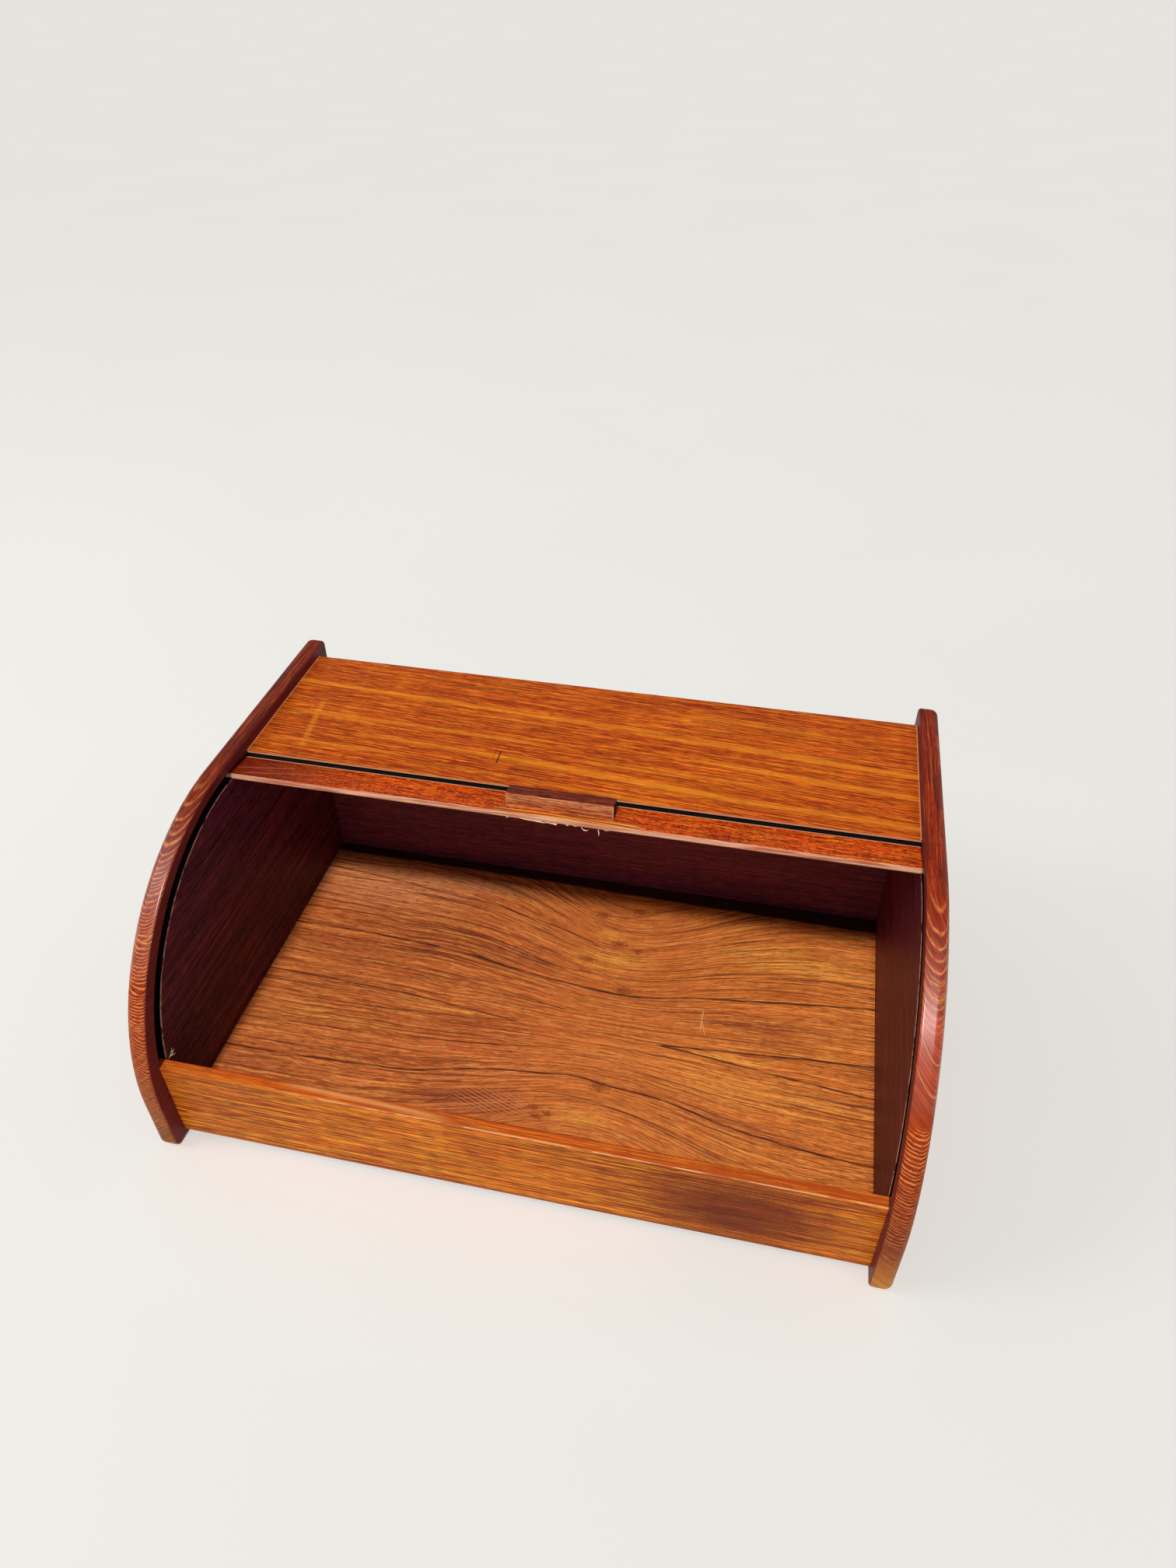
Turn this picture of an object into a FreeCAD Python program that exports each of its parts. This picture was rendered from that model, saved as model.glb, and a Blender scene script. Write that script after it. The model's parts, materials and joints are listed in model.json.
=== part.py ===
import FreeCAD, Part
import math
import os
import re
import Sketcher

# A roll-top box: two solid sides, thin panels housed between them, and a curtain of slats
# that runs in a curved groove cut in each side.
# Lengths are millimetres and angles degrees. X runs from left to right, Y from front to back,
# Z up. The origin is on the ground under the middle of the box.
# Angles of the curtain are counted from straight up, towards the back.

os.makedirs("parts", exist_ok=True)
doc = FreeCAD.newDocument("roll_top_box")

SIZES = [
    # the case
    ("inner_width", 400.0, "clear width between the two sides"),
    ("side_thickness", 12.0, "solid side"),
    ("rim_above", 6.2, "wood of a side above the groove"),
    ("rim_front", 10.0, "wood of a side in front of the groove"),
    ("rim_back", 18.0, "wood of a side behind the groove"),
    ("nose_fullness", 8.0, "how much larger the side's front round is than the groove's"),
    ("foot_radius", 6.0, "lower front corner of a side"),
    ("heel_radius", 6.0, "lower back corner of a side"),
    ("shoulder_radius", 5.0, "upper back corner of a side"),
    ("outer_round", 4.8, "rounding of a side's outer arris"),
    ("inner_round", 1.5, "rounding of a side's inner arris"),
    ("housing_depth", 3.0, "how far each panel is let into the sides"),
    # the groove
    ("track_height", 41.7, "height of the groove's centre"),
    ("track_radius", 124.5, "inner wall of the groove"),
    ("groove_width", 6.0, "inner wall to outer wall"),
    ("groove_depth", 6.0, "into the side"),
    # the panels
    ("board_rise", 21.9, "front board's top above the groove's centre"),
    ("board_bottom", 4.6, "front board's lower edge above the ground"),
    ("board_thickness", 7.0, "front board"),
    ("board_inset", 0.75, "front board's face behind the groove's foremost reach"),
    ("floor_height", 8.5, "floor's underside above the ground"),
    ("floor_thickness", 6.0, "floor panel"),
    ("top_reach", 28.0, "top panel's front edge behind the groove's centre"),
    ("top_thickness", 2.0, "top panel"),
    ("back_gap", 2.2, "room between the groove and the back panel"),
    ("back_thickness", 4.0, "back panel"),
    ("lining_inset", 3.75, "inner back board's rear face inside the groove's inner wall"),
    ("lining_thickness", 3.0, "inner back board"),
    ("panel_round", 0.4, "arris of a thin panel's open edge"),
    ("board_round", 1.0, "arrises along the front board's top"),
    # the curtain
    ("curtain_play", 0.3, "gap between the groove's inner wall and the slats"),
    ("curtain_clearance", 1.4, "gap between the slats and the top panel"),
    ("lining_clearance", 0.6, "gap between the canvas and the inner back board"),
    ("end_play", 1.0, "gap between a slat's end and the groove's bottom"),
    ("open_angle", 7.4, "middle of the lead rail when the curtain is open"),
    ("curtain_sweep", 88.0, "arc behind the lead rail that the slats fill"),
    ("slat_width", 11.5, "slat along the curtain"),
    ("slat_thickness", 4.4, "slat"),
    ("slat_gap", 0.35, "gap between neighbours at the canvas"),
    ("slat_round", 1.2, "arrises of a slat's outer face"),
    ("tail_gap", 0.3, "last slat to the end of the groove"),
    ("canvas_thickness", 0.6, "canvas backing"),
    ("canvas_margin", 3.0, "canvas edge short of the sides"),
    ("glue_line", 0.05, "between canvas and slats"),
    # the lead rail and its handle
    ("rail_depth", 21.0, "lead rail along the curtain"),
    ("rail_thickness", 3.7, "lead rail at its front"),
    ("rail_tongue", 3.1, "the part of the rail that runs in the grooves"),
    ("rail_lap", 13.5, "front of the rail that keeps its full thickness"),
    ("rail_play", 0.6, "gap between the full thickness and each side"),
    ("rail_round", 0.4, "arrises of the rail"),
    ("handle_length", 63.0, "handle across the box"),
    ("handle_depth", 9.6, "handle along the curtain"),
    ("handle_height", 9.0, "handle above the rail"),
    ("handle_setback", 5.4, "handle's front face behind the rail's front face"),
    ("handle_round", 0.7, "arrises of the handle"),
    ("screw_spacing", 36.0, "between the two handle screws"),
    ("screw_length", 10.0, "handle screw, head and shank"),
    ("screw_radius", 1.5, "shank"),
    ("screw_head_radius", 2.8, "countersunk head"),
    ("screw_head_height", 1.6, "countersunk head"),
    ("screw_clearance", 0.06, "round the shank and under the head"),
]

sheet = doc.addObject("Spreadsheet::Sheet", "Sizes")
for row, (alias, value, note) in enumerate(SIZES, start=1):
    sheet.set(f"A{row}", alias)
    sheet.set(f"B{row}", str(value))
    sheet.set(f"C{row}", note)
    sheet.setAlias(f"B{row}", alias)
doc.recompute()
ALIASES = {alias for alias, value, note in SIZES}


def sized(formula):
    """The formula with the name of each size pointed at its cell."""
    def cell(match):
        word = match.group()
        return f"Sizes.{word}" if word in ALIASES else word
    return re.sub(r"[a-z][a-z_]*", cell, formula)


# Places worked out from the sizes, as formulas that the document keeps
GROOVE_OUTER = "(track_radius + groove_width)"
TRACK_Y = "((rim_front - rim_back) / 2)"
SIDE_DEPTH = f"(rim_front + rim_back + 2 * {GROOVE_OUTER})"
SIDE_HEIGHT = f"(track_height + {GROOVE_OUTER} + rim_above)"
PANEL_WIDTH = "(inner_width + 2 * housing_depth)"

BOARD_TOP = "(track_height + board_rise)"
BOARD_FRONT = f"({TRACK_Y} - {GROOVE_OUTER} + board_inset)"
BOARD_BACK = f"({BOARD_FRONT} + board_thickness)"
FLOOR_TOP = "(floor_height + floor_thickness)"
BACK_INNER = f"({TRACK_Y} + {GROOVE_OUTER} + back_gap)"
BACK_OUTER = f"({BACK_INNER} + back_thickness)"

SLAT_SEAT = "(track_radius + curtain_play)"
SLAT_OUTER = f"({SLAT_SEAT} + slat_thickness)"
SLAT_LENGTH = "(inner_width + 2 * groove_depth - 2 * end_play)"
CANVAS_OUTER = f"({SLAT_SEAT} - glue_line)"
CANVAS_INNER = f"({CANVAS_OUTER} - canvas_thickness)"

# The top panel's lower front corner is the point that the slats pass closest to
TOP_UNDERSIDE = f"(track_height + sqrt(({SLAT_OUTER} + curtain_clearance)^2 - top_reach^2))"
TOP_FRONT = f"({TRACK_Y} + top_reach)"
# The inner back board ends where the canvas comes closest to its rear face
LINING_REACH = "(track_radius - lining_inset)"
LINING_TOP = f"(track_height + sqrt(({CANVAS_INNER} - lining_clearance)^2 - {LINING_REACH}^2))"
LINING_FRONT = f"({TRACK_Y} + {LINING_REACH} - lining_thickness)"

SLAT_PITCH = f"(2 * asin(slat_width / 2 / {SLAT_SEAT}) + slat_gap / {SLAT_SEAT} * 1 rad)"
RAIL_ANGLE = "(open_angle * 1 deg)"
RAIL_END = f"({RAIL_ANGLE} + asin(rail_depth / 2 / {SLAT_SEAT}))"
GROOVE_FRONT = f"acos(board_rise / {GROOVE_OUTER})"

RAIL_BASE = f"({SLAT_SEAT} + rail_tongue - rail_thickness)"
RAIL_TOP = f"({SLAT_SEAT} + rail_tongue)"
RAIL_FRONT = "(-rail_depth / 2)"
HANDLE_FRONT = f"({RAIL_FRONT} + handle_setback)"
HANDLE_MIDDLE = f"({HANDLE_FRONT} + handle_depth / 2)"


def slat_count():
    """As many whole slats as the curtain's sweep holds."""
    seat = sheet.track_radius + sheet.curtain_play
    pitch = 2 * math.asin(sheet.slat_width / 2 / seat) + sheet.slat_gap / seat
    return int(math.radians(sheet.curtain_sweep) / pitch)


SLATS = slat_count()
TAIL_ANGLE = f"({RAIL_END} + {SLATS} * {SLAT_PITCH})"
GROOVE_BACK = f"({TAIL_ANGLE} + tail_gap / {SLAT_SEAT} * 1 rad)"


def plane(body, role):
    """One of the body's own origin planes."""
    return next(item for item in body.Origin.OriginFeatures if item.Role == role)


def add_sketch(body, role, offset):
    """An empty sketch on an origin plane of the body, moved along its normal by the offset."""
    sketch = body.newObject("Sketcher::SketchObject", "outline")
    sketch.AttachmentSupport = [(plane(body, role), "")]
    sketch.MapMode = "FlatFace"
    sketch.setExpression("AttachmentOffset.Base.z", sized(offset))
    return sketch


def draw_rectangle(sketch, left, right, low, high):
    """A closed rectangle whose four sides are held at the formulas' distances from the axes."""
    corners = [FreeCAD.Vector(*xy, 0) for xy in ((-1, -1), (1, -1), (1, 1), (-1, 1))]
    for number in range(4):
        sketch.addGeometry(Part.LineSegment(corners[number], corners[(number + 1) % 4]), False)
    for number in range(4):
        sketch.addConstraint(Sketcher.Constraint("Coincident", number, 2, (number + 1) % 4, 1))
        direction = "Vertical" if number % 2 else "Horizontal"
        sketch.addConstraint(Sketcher.Constraint(direction, number))
    held = (("DistanceX", 0, 1, left, -1), ("DistanceX", 0, 2, right, 1),
            ("DistanceY", 0, 1, low, -1), ("DistanceY", 2, 1, high, 1))
    for kind, line, end, formula, start in held:
        number = sketch.addConstraint(Sketcher.Constraint(kind, -1, 1, line, end, float(start)))
        sketch.setExpression(f"Constraints[{number}]", sized(formula))


def edges_on(shape, *sides):
    """Names of the edges that lie wholly on each of the named sides of the shape's box."""
    box = shape.BoundBox
    gap = {
        "left": lambda edge: edge.XMax - box.XMin, "right": lambda edge: box.XMax - edge.XMin,
        "front": lambda edge: edge.YMax - box.YMin, "back": lambda edge: box.YMax - edge.YMin,
        "bottom": lambda edge: edge.ZMax - box.ZMin, "top": lambda edge: box.ZMax - edge.ZMin,
    }
    names = []
    for number, edge in enumerate(shape.Edges, start=1):
        if all(gap[side](edge.BoundBox) < 0.001 for side in sides):
            names.append(f"Edge{number}")
    return names


def round_edges(body, radius, *places):
    """Rounds the edges at each place, which is a group of side names, by one radius."""
    doc.recompute()
    base = body.Tip
    names = []
    for place in places:
        names += [name for name in edges_on(base.Shape, *place) if name not in names]
    fillet = body.newObject("PartDesign::Fillet", "rounding")
    fillet.Base = (base, names)
    fillet.setExpression("Radius", sized(radius))
    body.Tip = fillet


def add_pad(body, width, low, high, base, height):
    """Pads a rectangle that is centred across the box, from the base upward."""
    sketch = add_sketch(body, "XY_Plane", base)
    draw_rectangle(sketch, f"-{width} / 2", f"{width} / 2", low, high)
    pad = body.newObject("PartDesign::Pad", "pad")
    pad.Profile = sketch
    pad.setExpression("Length", sized(height))
    body.Tip = pad


def add_body(label):
    body = doc.addObject("PartDesign::Body", label)
    body.Label = label
    return body


def put(piece, y="0", z="0", x="0"):
    """Places a piece of the case."""
    for axis, formula in (("x", x), ("y", y), ("z", z)):
        piece.setExpression(f"Placement.Base.{axis}", sized(formula))


def turn(piece, angle):
    """Stands a curtain piece on the groove's centre, turned back from upright by the angle."""
    piece.Placement = FreeCAD.Placement(FreeCAD.Vector(0, 0, 0), FreeCAD.Rotation(FreeCAD.Vector(-1, 0, 0), 10))
    piece.setExpression("Placement.Rotation.Angle", sized(angle))
    put(piece, y=TRACK_Y, z="track_height")


def make_panel(label, front, back, bottom, top, rounds=()):
    """A flat panel between the sides, let into both, with its stated arrises rounded."""
    body = add_body(label)
    add_pad(body, PANEL_WIDTH, "0", f"{back} - {front}", "0", f"{top} - {bottom}")
    for radius, *places in rounds:
        round_edges(body, radius, *places)
    put(body, y=front, z=bottom)
    return body


def make_band(label, width, inner, outer, back_angle, sweep):
    """A band round the groove's centre that runs forward from the back angle over the sweep."""
    body = add_body(label)
    sketch = add_sketch(body, "XZ_Plane", "0")
    draw_rectangle(sketch, f"-{width} / 2", f"{width} / 2", inner, outer)
    revolution = body.newObject("PartDesign::Revolution", "sweep")
    revolution.Profile = sketch
    revolution.ReferenceAxis = (sketch, ["H_Axis"])
    revolution.setExpression("Angle", sized(sweep))
    body.Tip = revolution
    turn(body, back_angle)
    return body


def make_cut(label, base, tool):
    cut = doc.addObject("Part::Cut", label)
    cut.Label = label
    cut.Base = base
    cut.Tool = tool
    return cut


def make_side(label, outer, x, groove, panels):
    """A side: outline, round corners and arrises, the curtain's groove and the panels' housings."""
    body = add_body(f"{label}_blank")
    sketch = add_sketch(body, "YZ_Plane", "0")
    draw_rectangle(sketch, f"-{SIDE_DEPTH} / 2", f"{SIDE_DEPTH} / 2", "0", SIDE_HEIGHT)
    pad = body.newObject("PartDesign::Pad", "pad")
    pad.Profile = sketch
    pad.setExpression("Length", sized("side_thickness"))
    body.Tip = pad
    round_edges(body, f"{GROOVE_OUTER} + nose_fullness", ("front", "top"))
    round_edges(body, "foot_radius", ("front", "bottom"))
    round_edges(body, "heel_radius", ("back", "bottom"))
    round_edges(body, "shoulder_radius", ("back", "top"))
    inner = "left" if outer == "right" else "right"
    round_edges(body, "outer_round", (outer,))
    round_edges(body, "inner_round", (inner,))
    put(body, x=x)
    grooved = make_cut(f"{label}_grooved", body, groove)
    return make_cut(label, grooved, panels)


def make_slat(number):
    """A slat across the box, with its ends in the grooves and its outer arrises rounded."""
    body = add_body(f"slat_{number:02d}")
    add_pad(body, SLAT_LENGTH, "-slat_width / 2", "slat_width / 2", SLAT_SEAT, "slat_thickness")
    round_edges(body, "slat_round", ("front", "top"), ("back", "top"))
    half_gap = f"slat_gap / 2 / {SLAT_SEAT} * 1 rad"
    turn(body, f"{RAIL_END} + {half_gap} + {number - 0.5} * {SLAT_PITCH}")
    return body


def make_screw(name, x, clearance, length):
    """A countersunk screw standing in the rail's underside, or the hole for it."""
    head = doc.addObject("Part::Cone", f"{name}_head")
    shank = doc.addObject("Part::Cylinder", f"{name}_shank")
    head.setExpression("Radius1", sized(f"screw_head_radius + {clearance}"))
    head.setExpression("Radius2", sized(f"screw_radius + {clearance}"))
    head.setExpression("Height", sized(f"screw_head_height + {clearance}"))
    shank.setExpression("Radius", sized(f"screw_radius + {clearance}"))
    shank.setExpression("Height", sized(length))
    turned = FreeCAD.Rotation(FreeCAD.Vector(-1, 0, 0), 10)
    for piece in (head, shank):
        piece.Placement = FreeCAD.Placement(FreeCAD.Vector(0, 0, 0), turned)
        piece.setExpression("Placement.Rotation.Angle", sized(RAIL_ANGLE))
        y = f"{TRACK_Y} + {RAIL_BASE} * sin({RAIL_ANGLE}) + {HANDLE_MIDDLE} * cos({RAIL_ANGLE})"
        z = f"track_height + {RAIL_BASE} * cos({RAIL_ANGLE}) - {HANDLE_MIDDLE} * sin({RAIL_ANGLE})"
        put(piece, x=x, y=y, z=z)
    screw = doc.addObject("Part::Fuse", name)
    screw.Base = head
    screw.Tool = shank
    return screw


def make_group(label, pieces):
    group = doc.addObject("Part::Compound", label)
    group.Label = label
    group.Links = pieces
    return group


def make_screw_pair(label, clearance, length):
    """The two handle screws, or the two holes for them, as one group."""
    left = make_screw(f"{label}_left", "-screw_spacing / 2", clearance, length)
    right = make_screw(f"{label}_right", "screw_spacing / 2", clearance, length)
    return make_group(label, [left, right])


def make_rail(holes):
    """The lead rail: a thin tongue that runs in the grooves, thicker along its front."""
    body = add_body("lead_rail_blank")
    add_pad(body, SLAT_LENGTH, RAIL_FRONT, "rail_depth / 2", SLAT_SEAT, "rail_tongue")
    add_pad(body, "(inner_width - 2 * rail_play)", RAIL_FRONT, f"{RAIL_FRONT} + rail_lap",
            RAIL_BASE, "rail_thickness - rail_tongue")
    round_edges(body, "rail_round", ("front", "top"), ("back", "top"), ("front", "bottom"))
    turn(body, RAIL_ANGLE)
    return make_cut("lead_rail", body, holes)


def make_handle(holes):
    """The handle: a block on the rail with all its open arrises rounded."""
    body = add_body("handle_blank")
    add_pad(body, "handle_length", HANDLE_FRONT, f"{HANDLE_FRONT} + handle_depth",
            RAIL_TOP, "handle_height")
    open_edges = [("top",), ("front", "left"), ("front", "right"), ("back", "left"), ("back", "right")]
    round_edges(body, "handle_round", *open_edges)
    turn(body, RAIL_ANGLE)
    return make_cut("handle", body, holes)


def make_parts():
    """Every sub-part, in the order of the files."""
    front_board = make_panel("front_board", BOARD_FRONT, BOARD_BACK, "board_bottom", BOARD_TOP,
                             [("board_round", ("front", "top"), ("back", "top"))])
    bottom_panel = make_panel("bottom_panel", BOARD_BACK, BACK_INNER, "floor_height", FLOOR_TOP)
    inner_back = make_panel("inner_back_board", LINING_FRONT, f"{TRACK_Y} + {LINING_REACH}",
                            FLOOR_TOP, LINING_TOP, [("panel_round", ("front", "top"))])
    back_panel = make_panel("back_panel", BACK_INNER, BACK_OUTER, "board_bottom", TOP_UNDERSIDE)
    top_panel = make_panel("top_panel", TOP_FRONT, BACK_OUTER, TOP_UNDERSIDE,
                           f"({TOP_UNDERSIDE} + top_thickness)",
                           [("panel_round", ("front", "top"), ("back", "top"))])
    panels = [front_board, bottom_panel, inner_back, back_panel, top_panel]
    housed = doc.addObject("Part::MultiFuse", "housed_panels")
    housed.Shapes = panels
    groove = make_band("groove_form", "(inner_width + 2 * groove_depth)", "track_radius",
                       GROOVE_OUTER, GROOVE_BACK, f"{GROOVE_BACK} + {GROOVE_FRONT}")
    left_side = make_side("left_side", "left", "-inner_width / 2 - side_thickness", groove, housed)
    right_side = make_side("right_side", "right", "inner_width / 2", groove, housed)

    screws = make_screw_pair("handle_screws", "0", "screw_length")
    holes = make_screw_pair("screw_holes", "screw_clearance", "screw_length + screw_clearance")
    rail = make_rail(holes)
    handle = make_handle(holes)
    canvas_start = f"({RAIL_ANGLE} + asin(({RAIL_FRONT} + rail_lap + rail_play) / {SLAT_SEAT}))"
    canvas = make_band("canvas_backing", "(inner_width - 2 * canvas_margin)", CANVAS_INNER,
                       CANVAS_OUTER, TAIL_ANGLE, f"{TAIL_ANGLE} - {canvas_start}")
    slats = [make_slat(number) for number in range(1, SLATS + 1)]
    return [left_side, right_side, *panels, rail, handle, screws, canvas, *slats]


parts = make_parts()
doc.recompute()

failed = [item.Name for item in doc.Objects if {"Invalid", "Error"} & set(item.State)]
if failed:
    raise RuntimeError(f"these objects failed: {failed}")
for part in parts:
    if part.Shape.isNull() or not part.Shape.isValid():
        raise RuntimeError(f"{part.Label} has no valid shape")

for part in parts:
    box = part.Shape.BoundBox
    part.Shape.exportStep(f"parts/{part.Label}.step")
    print(f"{part.Label:18s} solids {len(part.Shape.Solids)}  volume {part.Shape.Volume:10.1f}"
          f"  Y {box.YMin:7.2f} {box.YMax:7.2f}  Z {box.ZMin:7.2f} {box.ZMax:7.2f}"
          f"  X {box.XMin:7.2f} {box.XMax:7.2f}")
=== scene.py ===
import json
import math

import bmesh
import bpy
from mathutils import Matrix, Vector


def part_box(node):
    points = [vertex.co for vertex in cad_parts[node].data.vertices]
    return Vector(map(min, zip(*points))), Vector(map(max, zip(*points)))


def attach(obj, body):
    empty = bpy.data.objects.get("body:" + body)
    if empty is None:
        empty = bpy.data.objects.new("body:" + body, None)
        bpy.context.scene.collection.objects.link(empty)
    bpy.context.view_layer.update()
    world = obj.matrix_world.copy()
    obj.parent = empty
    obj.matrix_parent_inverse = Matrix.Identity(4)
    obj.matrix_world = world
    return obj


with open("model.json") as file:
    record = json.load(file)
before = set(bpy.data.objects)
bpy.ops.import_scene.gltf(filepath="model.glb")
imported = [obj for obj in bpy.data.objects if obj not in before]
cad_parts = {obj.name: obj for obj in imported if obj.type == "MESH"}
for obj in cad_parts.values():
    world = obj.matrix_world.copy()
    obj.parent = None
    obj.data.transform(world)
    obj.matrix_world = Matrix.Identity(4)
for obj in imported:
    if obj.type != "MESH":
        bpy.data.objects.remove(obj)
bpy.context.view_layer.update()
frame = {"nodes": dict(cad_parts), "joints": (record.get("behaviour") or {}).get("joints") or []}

# The looks of the roll-top box: camera, floor, light, the woods and a few loose fibres.
# Objects are in metres. Inside the materials lengths are millimetres in the same frame.
NODES = frame["nodes"]
MM = 0.001


def millimetres(node):
    """(lowest corner, highest corner) of a CAD node, in millimetres."""
    low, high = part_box(node)
    return low / MM, high / MM


INNER_X = millimetres("right_side")[0].x
BOARD_LOW, BOARD_HIGH = millimetres("front_board")
TOP_LOW, TOP_HIGH = millimetres("top_panel")
HANDLE_LOW, HANDLE_HIGH = millimetres("handle")
SIDE_THICKNESS = 12.0
SLATS = 16

# The curtain's groove is one arc round the joint's axis
TRACK = Vector(frame["joints"][0]["pos_m"]) / MM
GROOVE_INNER = 124.5
GROOVE_OUTER = 130.5
GROOVE_DEPTH = 6.0

# The rail lies across the arc, turned back from its highest point. Its own coordinates
# run backwards along it and outwards from the joint's axis.
RAIL_TURN = math.radians(7.4)
RAIL_HALF = 10.5
RAIL_EDGE = 0.1 - RAIL_HALF
RAIL_UNDER = 124.6
RAIL_TOP = 127.9
HANDLE_FRONT = -5.1

CAMERA_PLACE = (0.1157, -0.4314, 0.5601)
CAMERA_RIGHT = (0.97703, 0.21295, -0.00794)
CAMERA_UP = (-0.12856, 0.61872, 0.77502)
CAMERA_LENS = 24.19

# The key lamp is in front and high, and the small side lamp is on the left
KEY_FROM = (-0.02, -0.50, 0.86)
KEY_STRENGTH = 2.65
KEY_SPREAD = math.radians(5.0)
SIDE_LAMP_PLACE = Vector((-1.25, -0.48, 1.25))
SIDE_LAMP_AIM = Vector((-0.2, -0.08, 0.15))
SIDE_LAMP_SIZE = 0.6
SIDE_LAMP_POWER = 4.4
FILL_STRENGTH = 0.36
FLOOR_PAINT = (225, 224, 220)
FLOOR_SIZE = 60

# The Mix node's sockets for colours
MIX_BELOW, MIX_ABOVE, MIX_RESULT = 6, 7, 2
BUMP_STRENGTH = 0.6


def srgb(red, green, blue):
    """The shader's linear colour for a screen colour given as 0 to 255."""
    def linear(value):
        share = value / 255
        return share / 12.92 if share <= 0.04045 else ((share + 0.055) / 1.055) ** 2.4
    return (linear(red), linear(green), linear(blue), 1.0)


def add_camera():
    data = bpy.data.cameras.new("camera")
    data.lens = CAMERA_LENS
    camera = bpy.data.objects.new("camera", data)
    right, up = Vector(CAMERA_RIGHT), Vector(CAMERA_UP)
    turn = Matrix((right, up, right.cross(up))).transposed()
    camera.matrix_world = Matrix.Translation(CAMERA_PLACE) @ turn.to_4x4()
    bpy.context.scene.collection.objects.link(camera)
    bpy.context.scene.camera = camera


class Field:
    """A value that varies over a surface. Arithmetic on it adds Math nodes."""

    def __init__(self, shader, socket):
        self.shader = shader
        self.socket = socket

    def __add__(self, other):
        return self.shader.math("ADD", self, other)

    def __radd__(self, other):
        return self.shader.math("ADD", other, self)

    def __sub__(self, other):
        return self.shader.math("SUBTRACT", self, other)

    def __rsub__(self, other):
        return self.shader.math("SUBTRACT", other, self)

    def __mul__(self, other):
        return self.shader.math("MULTIPLY", self, other)

    def __rmul__(self, other):
        return self.shader.math("MULTIPLY", other, self)

    def __truediv__(self, other):
        return self.shader.math("DIVIDE", self, other)


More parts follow.
